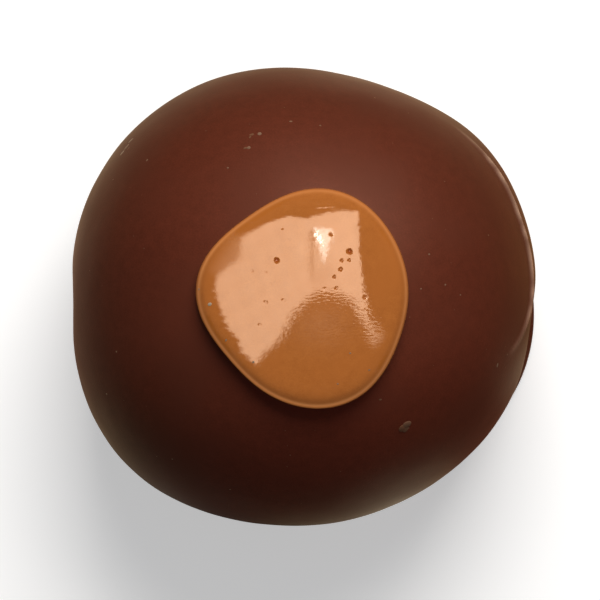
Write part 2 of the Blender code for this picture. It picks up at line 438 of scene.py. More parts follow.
# === The caramel drop =================================================================================
# A spoonful of caramel-coloured coating poured on the crown, which ran out to three blunt corners and
# set glossy, with a round edge, a level top and a few burst air bubbles.
DROP_RADIUS = 6.68 * MM
DROP_CENTRE = np.array([0.55 * MM, -0.01 * MM])        # from the ball's axis
DROP_THICKNESS = 0.90 * MM           # at its middle
DROP_LEVEL = 0.5                     # 0 follows the crown, and 1 lies level
DROP_EDGE = 0.20 * MM                # height of the edge's widest line over the coat
DROP_SEAT = 0.06 * MM                # how far its underside sits in the coat
DROP_SHOULDER_POWER = 22.0
DROP_LOBES = (
    (2, 0.019, math.radians(97)),
    (3, 0.048, math.radians(54)),
    (4, 0.019, math.radians(-4)),
    (5, 0.0066, math.radians(18)),
    (6, 0.0035, math.radians(-1)),
)
DROP_SEGMENTS = 480
RUN_MIDDLE = (1.5 * MM, -1.0 * MM)   # where it was still running as its skin set, and how far round there
RUN_MIDDLE_REACH = (2.6 * MM, 1.7 * MM)
RUN_CORNER = (4.0 * MM, -1.9 * MM)
RUN_CORNER_REACH = (1.1 * MM, 1.5 * MM)
RUN_CORNER_SHARE = 0.9
FAR_THREAD = (0.9 * MM, 5.75 * MM)   # the middle of the thread on the far shoulder
FAR_THREAD_REACH = (0.95 * MM, 0.12 * MM)
FAR_THREAD_SLOPE = 0.06
FAR_THREAD_RELIEF = 0.0065 * MM
SIDE_THREAD_AZIMUTH = 147            # in degrees, and how far it goes round to either side
SIDE_THREAD_REACH = 17
SIDE_THREAD_SHARE = 0.925            # of the drop's radius, then its half width and its drift outwards
SIDE_THREAD_WIDTH = 0.010
SIDE_THREAD_DRIFT = 0.0006
SIDE_THREAD_RELIEF = 0.005 * MM
RIM_SHARE = 0.978                    # of the drop's radius, where a paler rim is painted on as light glowing through its thin edge
RIM_WIDTH = 0.018
RIM_PAINTED_LIGHT = 0.66
RIM_PAINTED_LIGHT_SWING = 0.34
RIM_LIGHT_WEAKEST_AZIMUTH = math.radians(78)   # the painted rim light is weakest on this side, towards the key
PINHOLE_SHADE_DEPTH = 0.09                  # in mm: one this deep shows its full painted shade
PINHOLES = (                         # x and y from the drop's centre, width and depth, in mm
    (2.67, 2.90, 0.28, 0.11), (-1.92, 2.34, 0.28, 0.09), (2.65, 2.36, 0.16, 0.04),
    (2.18, 2.34, 0.17, 0.04), (2.10, 1.78, 0.21, 0.05), (1.70, 1.30, 0.18, 0.04),
    (1.49, 3.97, 0.15, 0.04), (1.83, 0.59, 0.18, 0.025), (3.64, 0.03, 0.19, 0.035),
    (-1.54, 4.39, 0.22, 0.010), (-1.15, 3.62, 0.19, 0.007), (-3.48, 1.70, 0.20, 0.012),
    (-2.63, 1.63, 0.20, 0.010), (-2.31, 0.87, 0.18, 0.007), (-2.60, -0.29, 0.24, 0.016),
    (-1.47, -0.16, 0.22, 0.012), (-2.97, -1.70, 0.20, 0.010), (1.09, 0.54, 0.20, 0.010),
)


def crown_height(x, y):
    """Height of the crown over a point, given from the ball's axis."""
    share = np.hypot(x, y) / (BALL_RADIUS * lobed(np.arctan2(y, x), BALL_LOBES))
    rise = (BALL_HEIGHT - BELLY_HEIGHT) * (1 - share ** CROWN_POWER) ** (1 / CROWN_POWER)
    turn = 2 * math.pi / SWELL_LENGTH
    swell = np.sin(turn * (x + 0.3 * y)) + np.sin(turn * (1.3 * y - 0.4 * x) + 2.0)
    return BELLY_HEIGHT + rise + SWELL * swell / 2 * (1 - share ** 2)


def drop_top(x, y):
    """Height of the drop's smooth top over a point, given from the drop's centre."""
    share = np.hypot(x, y) / (DROP_RADIUS * lobed(np.arctan2(y, x), DROP_LOBES))
    bulge = np.sqrt(np.maximum(1 - share ** DROP_SHOULDER_POWER, 0))
    crown = crown_height(x + DROP_CENTRE[0], y + DROP_CENTRE[1])
    levelled = DROP_LEVEL * (crown_height(*DROP_CENTRE) - crown)
    return crown + DROP_EDGE + (DROP_THICKNESS - DROP_EDGE + levelled) * bulge


def apart(x, y, middle, reach):
    """Squared distance of each point from a middle, in shares of a reach in x and one in y."""
    return ((x - middle[0]) / reach[0]) ** 2 + ((y - middle[1]) / reach[1]) ** 2


def still_running(x, y):
    """Where the drop was still running as its skin set: low on its right, up to its middle."""
    middle = apart(x, y, RUN_MIDDLE, RUN_MIDDLE_REACH) ** 1.5
    corner = apart(x, y, RUN_CORNER, RUN_CORNER_REACH)
    return np.maximum(np.exp(-middle), RUN_CORNER_SHARE * np.exp(-corner))


def shoulder_threads(x, y):
    """Short raised lines on the far and left shoulders, where last threads of caramel lay down."""
    along = x - FAR_THREAD[0]
    across = y - FAR_THREAD[1] - FAR_THREAD_SLOPE * along
    far = np.exp(-(along / FAR_THREAD_REACH[0]) ** 4 - (across / FAR_THREAD_REACH[1]) ** 2)
    azimuth = np.degrees(np.arctan2(y, x))
    share = np.hypot(x, y) / (DROP_RADIUS * lobed(np.radians(azimuth), DROP_LOBES))
    along = azimuth - SIDE_THREAD_AZIMUTH
    across = share - SIDE_THREAD_SHARE - SIDE_THREAD_DRIFT * along
    beside = np.exp(-(along / SIDE_THREAD_REACH) ** 4 - (across / SIDE_THREAD_WIDTH) ** 2)
    return FAR_THREAD_RELIEF * far + SIDE_THREAD_RELIEF * beside


def drop_outline(under_rings=8, edge_rings=8, shoulder_rings=14, top_rings=130, shoulder_share=0.92):
    """The drop's half outline as shares of its radius, and heights that tell its parts apart."""
    flat = 1 - DROP_EDGE / DROP_RADIUS
    outline = [(flat * step / under_rings, -DROP_SEAT) for step in range(under_rings)]
    for step in range(edge_rings):
        turn = math.pi / 2 * step / edge_rings
        share = flat + (1 - flat) * math.sin(turn)
        outline.append((share, -DROP_SEAT + (DROP_EDGE + DROP_SEAT) * (1 - math.cos(turn))))
    first_turn = math.acos(shoulder_share)
    for step in range(shoulder_rings):
        share = math.cos(first_turn * (step / shoulder_rings) ** 1.3)
        outline.append((share, DROP_EDGE))
    for step in range(top_rings + 1):
        outline.append((shoulder_share * (1 - step / top_rings), DROP_EDGE))
    return outline


unit_outline = [(share * MM, height) for share, height in drop_outline()]
drop = turned_piece("caramel_pool", unit_outline, DROP_SEGMENTS)
points = mesh_points(drop.data)
azimuths = np.arctan2(points[:, 1], points[:, 0])
radii = np.hypot(points[:, 0], points[:, 1]) / MM * DROP_RADIUS * lobed(azimuths, DROP_LOBES)
x, y = radii * np.cos(azimuths), radii * np.sin(azimuths)
on_top = points[:, 2] >= DROP_EDGE * 0.999
top = drop_top(x, y) + shoulder_threads(x, y)
pit_shade_mask = np.zeros(len(points))
for pit_x, pit_y, width, depth in PINHOLES:
    away = np.hypot(x - pit_x * MM, y - pit_y * MM) / (width * MM / 2)
    sunk = np.exp(-away ** 4)
    top -= depth * MM * sunk
    # Painted shade: the deeper a pit, the darker its colour is painted.
    pit_shade_mask = np.maximum(pit_shade_mask, sunk * min(depth / PINHOLE_SHADE_DEPTH, 1))
under = crown_height(x + DROP_CENTRE[0], y + DROP_CENTRE[1]) + points[:, 2]
placed = np.column_stack([x + DROP_CENTRE[0], y + DROP_CENTRE[1], np.where(on_top, top, under)])
set_mesh_points(drop.data, placed + AXIS)
share = np.hypot(x, y) / (DROP_RADIUS * lobed(azimuths, DROP_LOBES))
# Painted light: the rim's paleness grows on the side away from the key light.
rim_light_share = RIM_PAINTED_LIGHT - RIM_PAINTED_LIGHT_SWING * np.cos(azimuths - RIM_LIGHT_WEAKEST_AZIMUTH)
masks = {
    "pinhole": pit_shade_mask * on_top,
    "running": still_running(x, y) * on_top,
    "rim": np.exp(-((share - RIM_SHARE) / RIM_WIDTH) ** 2) * on_top * rim_light_share,
}
for name, values in masks.items():
    drop.data.attributes.new(name, "FLOAT", "POINT").data.foreach_set("value", values)

CARAMEL = grained_material(
    "caramel_gloss", GRAIN,
    scales=(0.09 * MM, 0.5 * MM, 2.6 * MM),
    colours=((0.322, 0.094, 0.0160), (0.400, 0.127, 0.0240), (0.372, 0.113, 0.0205)),
    roughness=(0.028, 0.045),
    specular=0.5,
    bump=0.0002 * MM,
)
# painted shade: the colour that darkens the pinholes, where little light gets in
PINHOLE_PAINTED_SHADE = (0.260, 0.050, 0.006)
# painted light: the paler colour of the rim, a glow standing in for light through its thin edge
RIM_PAINTED_LIGHT_COLOUR = (0.94, 0.36, 0.110)
RUN_LENGTH = 0.34 * MM               # of the streaks in the part that was still running
RUN_WIDTH = 0.13 * MM
RUN_RELIEF = 0.0062                  # this and the next in mm
DIMPLE_SIZE = 0.30 * MM              # of the faint unevenness of its whole skin
DIMPLE_RELIEF = 0.0014
tree = CARAMEL.node_tree
surface = tree.nodes["Principled BSDF"]
body_colour = surface.inputs["Base Color"].links[0].from_socket
# Painted light on the rim, and painted shade in the pinholes.
rim_lit = blend_colours(tree, mask_of(tree, "rim"), body_colour, RIM_PAINTED_LIGHT_COLOUR)
pit_shaded = blend_colours(tree, mask_of(tree, "pinhole"), rim_lit, PINHOLE_PAINTED_SHADE)
tree.links.new(pit_shaded, surface.inputs["Base Color"])

place = tree.nodes.new("ShaderNodeTexCoord").outputs["Object"]
run_scale = (1 / RUN_LENGTH, 1 / RUN_WIDTH, 1 / RUN_WIDTH)
stretch = add_node(tree, "ShaderNodeMapping", Vector=place, Scale=run_scale).outputs["Vector"]
streaks = add_node(tree, "ShaderNodeTexNoise", Vector=stretch, Scale=1, Detail=1)
dimples = add_node(tree, "ShaderNodeTexNoise", Vector=place, Scale=1 / DIMPLE_SIZE, Detail=2)
run_height = calculate(tree, "MULTIPLY", streaks.outputs[0], mask_of(tree, "running"))
run_height = calculate(tree, "MULTIPLY", run_height, RUN_RELIEF)
dimple_height = calculate(tree, "MULTIPLY", dimples.outputs[0], DIMPLE_RELIEF)
skin_height = calculate(tree, "ADD", run_height, dimple_height)
grain_normal = surface.inputs["Normal"].links[0].from_socket
run_relief = add_node(tree, "ShaderNodeBump", Distance=MM, Height=skin_height, Normal=grain_normal)
tree.links.new(run_relief.outputs["Normal"], surface.inputs["Normal"])
drop.data.materials.append(CARAMEL)
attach(drop, "root")
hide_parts("caramel_drop")

# === The specks =======================================================================================
# Grains of sugar and flakes of cocoa butter that stuck to the coat before it set, each half sunk in it.
# Most are as fine as dust; a few larger ones lie where the truffle was handled.
SPECK_DENSITY = 60000                # to the square metre
SPECK_WIDTHS = (0.035 * MM, 0.085 * MM)
SPECK_FLATNESS = 0.28                # height as a share of the width
SPECK_LENGTH = 1.3                   # of a fine one, in its widths
SPECK_PALENESS = 0.25                # the most that a fine one has
CHOSEN_SPECKS = (                    # x, y, width and length in mm, turn in degrees, paleness from 0 to 1
    (-2.45, 10.33, 0.27, 0.28, 0, 0.24), (-2.95, 10.28, 0.18, 0.32, 10, 0.06),
    (-3.13, 9.45, 0.24, 0.25, 0, 0.20), (-3.34, 9.43, 0.16, 0.26, 5, 0.08),
    (-3.05, 10.12, 0.14, 0.20, 60, 0.06), (6.84, -8.02, 0.48, 0.66, 22, 0.11),
    (6.55, -8.26, 0.46, 0.54, 65, 0.05), (6.76, -8.34, 0.34, 0.46, 50, 0.08),
    (12.60, -4.30, 0.15, 0.30, 80, 0.30), (13.24, -3.62, 0.11, 0.13, 0, 0.15),
    (-12.15, -6.12, 0.13, 0.15, 0, 0.25), (5.16, -6.44, 0.12, 0.20, 0, 0.15),
    (8.24, 2.72, 0.12, 0.14, 0, 0.22), (9.26, 0.80, 0.11, 0.14, 40, 0.25),
    (-0.48, 11.12, 0.16, 0.22, 0, 0.15), (-9.58, 8.69, 0.12, 0.17, 45, 0.25),
    (-4.33, -12.15, 0.11, 0.14, 0, 0.2), (-11.51, -3.43, 0.12, 0.13, 0, 0.2),
    (7.72, 0.54, 0.10, 0.12, 0, 0.25), (-4.45, 8.17, 0.12, 0.14, 0, 0.2),
    (-11.76, 7.47, 0.12, 0.14, 0, 0.2), (10.22, 0.16, 0.10, 0.12, 0, 0.2),
    (4.84, 12.66, 0.12, 0.14, 0, 0.2), (1.38, 10.86, 0.12, 0.14, 0, 0.12),
    (-7.98, -10.22, 0.11, 0.13, 0, 0.2), (12.02, 3.94, 0.11, 0.14, 0, 0.2),
    (12.92, 8.04, 0.15, 0.28, 0, 0.35), (12.92, 7.15, 0.12, 0.20, 0, 0.3),
    (-10.66, 9.96, 0.24, 0.46, 40, 0.50), (-10.92, 9.56, 0.26, 0.54, 55, 0.34),
    (-11.20, 9.18, 0.22, 0.44, 50, 0.55), (-11.04, 9.78, 0.20, 0.40, 30, 0.15),
    (-10.80, 9.44, 0.14, 0.30, 70, 0.12),
)
DROP_SPECKS = (                      # the same, on the drop, from its centre
    (-6.12, -0.42, 0.21, 0.28, 20, 1.0), (-6.80, 0.52, 0.12, 0.16, 70, 0.7),
    (-5.10, -2.68, 0.11, 0.18, 60, 0.6), (-3.38, -4.05, 0.12, 0.18, 40, 0.6),
    (2.70, -3.49, 0.10, 0.12, 0, 0.5), (1.92, -5.42, 0.10, 0.12, 0, 0.4),
    (3.90, -4.55, 0.10, 0.14, 30, 0.4),
)


def speck_tree():
    """Geometry nodes that scatter fine specks over the coat and set larger ones at chosen points."""
    tree = bpy.data.node_groups.new("press specks in", "GeometryNodeTree")
    sizes = add_inputs(tree, ("Density", "Least Width", "Most Width", "Flatness"))
    tree.interface.new_socket("Coat", in_out="INPUT", socket_type="NodeSocketObject")
    coat = add_node(tree, "GeometryNodeObjectInfo", Object=sizes["Coat"]).outputs["Geometry"]

    def stored(name, points, value):
        node = add_node(tree, "GeometryNodeStoreNamedAttribute", Name=name, Geometry=points, Value=value)
        return node.outputs["Geometry"]

    def named(name):
        return add_node(tree, "GeometryNodeInputNamedAttribute", Name=name).outputs["Attribute"]

    density = sizes["Density"]
    scatter = add_node(tree, "GeometryNodeDistributePointsOnFaces", Mesh=coat, Density=density, Seed=5)
    pick = add_node(tree, "FunctionNodeRandomValue", Seed=11)
    uneven = calculate(tree, "POWER", pick.outputs[1], 3)
    spread = calculate(tree, "SUBTRACT", sizes["Most Width"], sizes["Least Width"])
    width = calculate(tree, "ADD", sizes["Least Width"], calculate(tree, "MULTIPLY", uneven, spread))
    spin = add_node(tree, "FunctionNodeRandomValue", Seed=12)
    fine = stored("width", scatter.outputs["Points"], width)
    fine = stored("length", fine, calculate(tree, "MULTIPLY", width, SPECK_LENGTH))
    fine = stored("turn", fine, calculate(tree, "MULTIPLY", spin.outputs[1], math.pi))
    fine = stored("paleness", fine, calculate(tree, "MULTIPLY", spin.outputs[1], SPECK_PALENESS))
    chosen = add_node(tree, "GeometryNodeMeshToPoints", Mesh=sizes["Geometry"])
    all_points = tree.nodes.new("GeometryNodeJoinGeometry")
    tree.links.new(fine, all_points.inputs[0])
    tree.links.new(chosen.outputs["Points"], all_points.inputs[0])

    # Each speck is a low faceted lump, laid flat on the surface below it.
    normal = tree.nodes.new("GeometryNodeInputNormal")
    below = tree.nodes.new("GeometryNodeSampleNearestSurface")
    below.data_type = "FLOAT_VECTOR"
    tree.links.new(coat, below.inputs["Mesh"])
    tree.links.new(normal.outputs[0], below.inputs["Value"])
    upright = add_node(tree, "FunctionNodeAlignRotationToVector", Vector=below.outputs["Value"])
    upright.axis = "Z"
    about = add_node(tree, "FunctionNodeAxisAngleToRotation", Angle=named("turn")).outputs["Rotation"]
    turned = add_node(
        tree, "FunctionNodeRotateRotation", Rotation=upright.outputs["Rotation"], Rotate_By=about,
    )
    turned.rotation_space = "LOCAL"
    lump = add_node(tree, "GeometryNodeMeshIcoSphere", Radius=0.5, Subdivisions=2)
    height = calculate(tree, "MULTIPLY", named("width"), sizes["Flatness"])
    size = add_node(tree, "ShaderNodeCombineXYZ", X=named("length"), Y=named("width"), Z=height)
    placed = add_node(
        tree, "GeometryNodeInstanceOnPoints", Points=all_points.outputs[0], Instance=lump.outputs["Mesh"],
        Rotation=turned.outputs["Rotation"], Scale=size.outputs["Vector"],
    )
    finish_tree(tree, placed.outputs["Instances"], sizes["Material"])
    return tree


def chosen_points(name, rows, origin, surface_height):
    """An object of loose points at the chosen places, which carry each speck's sizes, turn and paleness."""
    rows = np.array(rows)
    x, y = rows[:, 0] * MM, rows[:, 1] * MM
    places = np.column_stack([x, y, surface_height(x, y)]) + origin
    mesh = bpy.data.meshes.new(name)
    mesh.from_pydata(places.tolist(), [], [])
    columns = (("width", MM), ("length", MM), ("turn", math.pi / 180), ("paleness", 1))
    for column, (key_name, unit) in enumerate(columns):
        values = rows[:, column + 2] * unit
        mesh.attributes.new(key_name, "FLOAT", "POINT").data.foreach_set("value", values)
    piece = bpy.data.objects.new(name, mesh)
    bpy.context.collection.objects.link(piece)
    return piece


SPECKLE = grained_material(
    "pale_specks", GRAIN,
    scales=(0.12 * MM, 0.5 * MM, 1.3 * MM),
    colours=((0.115, 0.042, 0.019), (0.155, 0.060, 0.027), (0.135, 0.051, 0.023)),
    roughness=(0.50, 0.65),
    specular=0.12,
    bump=0.004 * MM,
)
PALEST = (0.41, 0.32, 0.23)
tree = SPECKLE.node_tree
surface = tree.nodes["Principled BSDF"]
dull = surface.inputs["Base Color"].links[0].from_socket
tree.links.new(blend_colours(tree, mask_of(tree, "paleness"), dull, PALEST), surface.inputs["Base Color"])
SPECK_TREE = speck_tree()
speck_sizes = {
    "Material": SPECKLE, "Least Width": SPECK_WIDTHS[0], "Most Width": SPECK_WIDTHS[1],
    "Flatness": SPECK_FLATNESS,
}
coat_specks = chosen_points("coat_specks", CHOSEN_SPECKS, AXIS, crown_height)
run_tree(coat_specks, SPECK_TREE, speck_sizes | {"Coat": ball, "Density": SPECK_DENSITY})
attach(coat_specks, "root")
drop_origin = AXIS + np.array([*DROP_CENTRE, 0])
drop_specks = chosen_points("drop_specks", DROP_SPECKS, drop_origin, drop_top)
run_tree(drop_specks, SPECK_TREE, speck_sizes | {"Coat": drop, "Density": 0.0})
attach(drop_specks, "root")

# === The studio =======================================================================================
# A white table under one soft key light. A window and a lamp overhead show only as their mirror images
# in the glossy drop. A card on the table, a sheen and a weak red glow fall on the satin coat alone.
FLOOR_SIZE = 1.6
FLOOR_COLOUR = (0.80, 0.80, 0.80)
FLOOR_BOUNCE = (0.68, 0.52, 0.38)    # the warmer light that it throws back at the truffle
FLOOR_MIRRORED = (0.20, 0.16, 0.11)  # and the dimmer one that shows in its satin coat
CARD_INNER = 15.2 * MM               # a glowing card on the table round the truffle, from its axis
CARD_ROWS = (                        # azimuth in degrees, its reach in mm and its glow there
    (-125, 45, (0.30, 0.26, 0.20)), (-108, 38, (0.08, 0.10, 0.09)), (-98, 30, (0.12, 0.11, 0.07)),
    (-88, 27, (0.38, 0.33, 0.20)), (-78, 30, (0.60, 0.51, 0.32)), (-68, 36, (1.30, 1.12, 0.75)),
    (-60, 42, (1.15, 0.98, 0.65)), (-52, 50, (0.60, 0.42, 0.24)), (-45, 50, (0.16, 0.03, 0.01)),
    (-30, 42, (0.28, 0.05, 0.01)), (-18, 40, (1.00, 0.70, 0.42)), (-8, 40, (0.40, 0.20, 0.05)),
    (10, 45, (0.75, 0.36, 0.09)), (32, 45, (0.62, 0.32, 0.13)), (48, 36, (1.05, 0.80, 0.43)),
    (70, 30, (1.25, 0.95, 0.58)), (90, 32, (0.76, 0.60, 0.35)), (120, 34, (0.88, 0.70, 0.42)),
    (150, 38, (1.05, 0.73, 0.42)), (175, 38, (0.95, 0.55, 0.35)), (195, 42, (0.55, 0.28, 0.17)),
    (215, 48, (0.60, 0.44, 0.25)),
)
CARD_HEIGHT = 0.05 * MM              # over the table
FLOOR_LIFT = 0.45                    # pales the truffle's shadow
FLOOR_LIFT_COLOUR = (1.0, 0.99, 0.98)
FLOOR_ROUGHNESS = 0.7
LIGHT_DISTANCE = 0.6
KEY_AZIMUTH = math.radians(78)
KEY_ZENITH = math.radians(46)
KEY_SIZE = 0.4
KEY_POWER = 4.25
KEY_COLOUR = (1.0, 0.97, 0.93)
GLOW_AZIMUTH = math.radians(-48)     # a low red glow, thrown back by something beside the table
GLOW_ZENITH = math.radians(84)
GLOW_SIZE = 0.10
GLOW_POWER = 0.46
GLOW_COLOUR = (1.0, 0.28, 0.15)
SHEEN_AZIMUTH = math.radians(66)     # mirrored by the coat alone
SHEEN_ZENITH = math.radians(36)
SHEEN_POWER = 6.5
SHEEN_COLOUR = (1.0, 0.66, 0.46)
FILL_AZIMUTH = math.radians(262)     # pales the near side of the drop
FILL_ZENITH = math.radians(35)
FILL_POWER = 1.35
SKY = 0.098
SKY_COLOUR = (0.88, 0.99, 1.13)
WINDOW_DISTANCE = 0.3
WINDOW_STEPS = 180                   # points to a side of the window's mesh
WINDOW_COLOUR = (9.7, 6.7, 4.45)
LAMP_COLOUR = (9.0, 9.6, 8.6)
WINDOW_OUTLINE = (                   # where its image ends on the drop, x, y and softness in mm
    (-4.19, 3.78, 0.22), (-2.33, 4.78, 0.08), (-1.13, 5.08, 0.06), (0.06, 4.94, 0.06),
    (0.67, 5.24, 0.06), (1.88, 5.44, 0.06), (3.22, 5.44, 0.04), (3.27, 2.98, 0.04),
    (3.53, 0.78, 0.05), (3.93, -1.31, 0.12), (4.66, -2.50, 0.40), (4.22, -2.80, 0.60),
    (3.58, -1.63, 0.40), (3.18, -0.72, 0.35), (2.78, -0.12, 0.35), (1.97, 0.28, 0.35),
    (0.67, 0.38, 0.35), (0.17, 0.08, 0.38), (-0.93, -1.03, 0.45), (-1.73, -2.63, 0.36),
    (-2.73, -3.53, 0.22), (-3.23, -4.23, 0.10), (-4.13, -3.33, 0.10), (-4.38, -2.53, 0.10),
    (-4.94, -2.02, 0.10), (-5.64, -0.03, 0.10), (-5.79, 0.67, 0.12), (-5.69, 1.38, 0.22),
    (-4.29, 2.60, 0.40),
)
WINDOW_DIM_CORNER = (                # the same, of its dimmer upper left corner
    (-4.10, 3.78, 0.30), (-4.20, 2.50, 0.10), (-5.60, 1.28, 0.30), (-5.75, 1.75, 0.70), (-4.60, 3.65, 0.70),
)
LAMP_OUTLINE = ((0.40, 4.40, 0.03), (1.66, 4.28, 0.05), (1.05, 2.15, 0.04))
LAMP_WAVER = 0.035                   # and the lamp's in x
LAMP_GLOW = 0.9
LAMP_CORE = (0.77, 3.76, 0.12)       # x, y and radius of its brightest spot in mm
LAMP_CORE_GLOW = 9
WINDOW_WAVER = (0.065, 0.03)         # how far the window's edges waver in x and y, in mm
DIM_CORNER_GLOW = 0.30
WINDOW_SLOPE = 0.018                 # how much brighter it is for each mm to the right
WINDOW_PATCHES = (                   # brighter and darker patches: middle and reach in mm, and gain
    ((2.1, 3.4), (1.0, 1.6), 0.08), ((-0.35, 3.2), (0.28, 0.5), 0.16), ((1.0, 1.35), (0.55, 0.9), -0.16),
)
FOLD_OUTLINE = ((-0.6, 4.2, 0.3), (1.2, 4.2, 0.3), (1.2, 1.1, 0.6), (-0.6, 1.1, 0.6))
FOLD_X = 0.30                        # of the dark fold beside the lamp, in mm
FOLD_WIDENS_BELOW = 3.4              # it grows wider and paler below this y, in mm
FOLD_DEPTH = 0.80
FADES_BELOW = -0.6                   # the window's right leg fades below this y, over this length, in mm
FADE_LENGTH = 2.2
FADE_DEPTH = 0.30
VEIL_MIDDLE = (1.0, -1.7)            # of the weak, streaked light under the window
VEIL_REACH = (1.9, 1.3)
VEIL_GLOW = 0.12


def window_share(outline, x, y):
    """How far inside a soft-edged outline each point is, from 0 to 1."""
    nearest = np.full(x.shape, np.inf)
    softness = np.ones(x.shape)
    crossings = np.zeros(x.shape, dtype=bool)
    for (x0, y0, soft0), (x1, y1, soft1) in zip(outline, outline[1:] + outline[:1]):
        side = np.array([x1 - x0, y1 - y0])
        along = np.clip(((x - x0) * side[0] + (y - y0) * side[1]) / (side @ side), 0, 1)
        gap = np.hypot(x - x0 - along * side[0], y - y0 - along * side[1])
        closer = gap < nearest
        nearest = np.where(closer, gap, nearest)
        softness = np.where(closer, soft0 + (soft1 - soft0) * along, softness)
        straddles = (y0 > y) != (y1 > y)
        reach = x0 + (y - y0) * side[0] / (side[1] if side[1] else 1e-9)
        crossings ^= straddles & (x < reach)
    inside = np.clip(0.5 + np.where(crossings, nearest, -nearest) / (2 * softness), 0, 1)
    return inside * inside * (3 - 2 * inside)


camera = bpy.data.objects.new("camera", bpy.data.cameras.new("camera"))
VIEW_HEIGHT = 0.9                    # the camera's height over the belly
VIEW_WIDTH = 38.27 * MM              # what its frame takes in at the belly
VIEW_OFFSET = (0.10 * MM, -0.16 * MM)
camera.location = (AXIS[0] + VIEW_OFFSET[0], AXIS[1] + VIEW_OFFSET[1], BELLY_HEIGHT + VIEW_HEIGHT)
camera.data.sensor_width = 36
camera.data.lens = 36 * VIEW_HEIGHT / VIEW_WIDTH
camera.data.clip_end = 10
bpy.context.collection.objects.link(camera)
bpy.context.scene.camera = camera

# The window's shape is found backwards: from each point of its image on the drop, the line of sight is
# mirrored in the drop's smooth top and followed out to the window.
side_x = np.linspace(-6.3, 5.3, WINDOW_STEPS)
side_y = np.linspace(-4.8, 6.0, WINDOW_STEPS)
grid_x, grid_y = np.meshgrid(side_x, side_y)
waver = np.sin(13 * grid_y + 2) + np.sin(29 * grid_y + 1) + np.sin(47 * grid_y + 4 + 5 * grid_x)
lower = np.clip((2.4 - grid_y) / 2, 0.15, 1)
wavering_x = grid_x + WINDOW_WAVER[0] * waver * lower
wavering_y = grid_y + WINDOW_WAVER[1] * waver
glow = window_share(WINDOW_OUTLINE, wavering_x, wavering_y)
corner = DIM_CORNER_GLOW * window_share(WINDOW_DIM_CORNER, grid_x, grid_y)
veil = np.exp(-apart(grid_x, grid_y, VEIL_MIDDLE, VEIL_REACH))
veil *= 1 + 0.6 * np.sin(12 * grid_y + 2 * np.sin(1.7 * grid_x)) * np.sin(2.1 * grid_x + 0.8)
fold_width = 0.10 + 0.08 * np.clip((FOLD_WIDENS_BELOW - grid_y) / 1.5, 0, 1)
fold = np.exp(-((grid_x - FOLD_X) / fold_width) ** 2) * window_share(FOLD_OUTLINE, grid_x, grid_y)
fold /= 1 + np.clip(FOLD_WIDENS_BELOW - grid_y, 0, 2)
fading = np.clip((FADES_BELOW - grid_y) / FADE_LENGTH, 0, 1) * (grid_x > 2)
tone = 1 + WINDOW_SLOPE * grid_x - FOLD_DEPTH * fold - FADE_DEPTH * fading
for middle, reach, gain in WINDOW_PATCHES:
    tone += gain * np.exp(-apart(grid_x, grid_y, middle, reach))
tone += 0.02 * (np.sin(5.1 * grid_x + 1.7 * grid_y) + np.sin(4.3 * grid_y - 2.9 * grid_x + 1))
glow = np.maximum(glow, np.maximum(corner, VEIL_GLOW * veil)) * tone
core = np.exp(-((grid_x - LAMP_CORE[0]) ** 2 + (grid_y - LAMP_CORE[1]) ** 2) / LAMP_CORE[2] ** 2)
lamp = window_share(LAMP_OUTLINE, grid_x + LAMP_WAVER * waver, grid_y)
lamp *= LAMP_GLOW + LAMP_CORE_GLOW * core
glow_colour = glow[..., None] * np.array(WINDOW_COLOUR) + lamp[..., None] * np.array(LAMP_COLOUR)
spot_x, spot_y = grid_x.ravel() * MM, grid_y.ravel() * MM
nudge = 0.05 * MM
slope_x = (drop_top(spot_x + nudge, spot_y) - drop_top(spot_x - nudge, spot_y)) / (2 * nudge)
slope_y = (drop_top(spot_x, spot_y + nudge) - drop_top(spot_x, spot_y - nudge)) / (2 * nudge)
normals = np.column_stack([-slope_x, -slope_y, np.ones_like(slope_x)])
normals /= np.linalg.norm(normals, axis=1)[:, None]
spots = np.column_stack([spot_x + DROP_CENTRE[0], spot_y + DROP_CENTRE[1], drop_top(spot_x, spot_y)]) + AXIS
sight = np.array(camera.location) - spots
sight /= np.linalg.norm(sight, axis=1)[:, None]
mirrored = 2 * (normals * sight).sum(axis=1)[:, None] * normals - sight
corners = spots + WINDOW_DISTANCE * mirrored
faces = [
    (at, at + 1, at + WINDOW_STEPS + 1, at + WINDOW_STEPS)
    for row in range(WINDOW_STEPS - 1)
    for at in range(row * WINDOW_STEPS, (row + 1) * WINDOW_STEPS - 1)
]

window_light = bpy.data.materials.new("window_light")
window_light.use_nodes = True
tree = window_light.node_tree
tree.nodes.clear()
glow_value = tree.nodes.new("ShaderNodeAttribute")
glow_value.attribute_name = "glow"
shining = add_node(tree, "ShaderNodeEmission", Color=glow_value.outputs["Color"])
clear = tree.nodes.new("ShaderNodeBsdfTransparent")
both = tree.nodes.new("ShaderNodeAddShader")
tree.links.new(shining.outputs[0], both.inputs[0])
tree.links.new(clear.outputs[0], both.inputs[1])
add_node(tree, "ShaderNodeOutputMaterial", Surface=both.outputs[0])


def alone(name, piece):
    """A collection of one piece, for the lights and cards that reach nothing else."""
    receivers = bpy.data.collections.new(name)
    receivers.objects.link(piece)
    return receivers


def glowing_card(name, points, faces, colours, receivers):
    """A card with a colour at each point, which only its receivers mirror and nothing else sees."""
    mesh = bpy.data.meshes.new(name)
    mesh.from_pydata(points.tolist(), [], faces)
    rgba = np.column_stack([colours, np.ones(len(colours))])
    mesh.attributes.new("glow", "FLOAT_COLOR", "POINT").data.foreach_set("color", rgba.ravel())
    mesh.materials.append(window_light)
    card = bpy.data.objects.new(name, mesh)
    bpy.context.collection.objects.link(card)
    card.visible_camera = False
    card.visible_diffuse = False
    card.visible_shadow = False
    card.light_linking.receiver_collection = receivers
    return card


only_drop = alone("seen by the window", drop)
window = glowing_card("window", corners, faces, glow_colour.reshape(-1, 3), only_drop)

